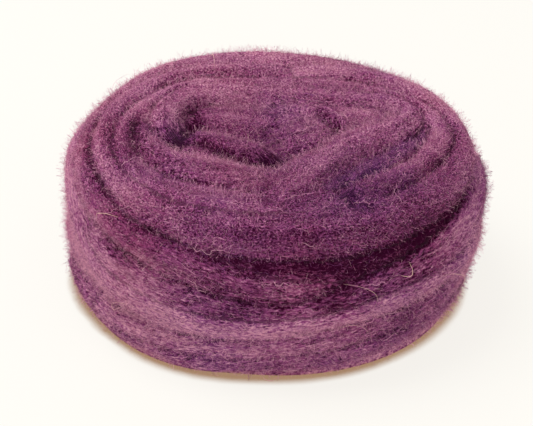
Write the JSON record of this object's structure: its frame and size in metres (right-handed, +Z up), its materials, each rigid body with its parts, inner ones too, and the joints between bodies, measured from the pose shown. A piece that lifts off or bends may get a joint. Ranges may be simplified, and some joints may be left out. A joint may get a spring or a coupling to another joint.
{
  "type": "wool roving nest",
  "caption": "Squat round nest of carded wool roving: one thick unspun strand wound and folded on itself, lying flat.",
  "frame": {"origin": "middle of the flat base that the nest lies on, at the centre of its box", "axes": "+Z up through the nest's cap, -Y towards the side that shows in front, +X to its right"},
  "size_m": [0.127, 0.1292, 0.0536],
  "materials": {
    "plum_wool": "matt, soft carded wool, plum purple with paler and redder fibres"
  },
  "bodies": {
    "root": {"roving_nest": "plum_wool"}
  },
  "joints": []
}
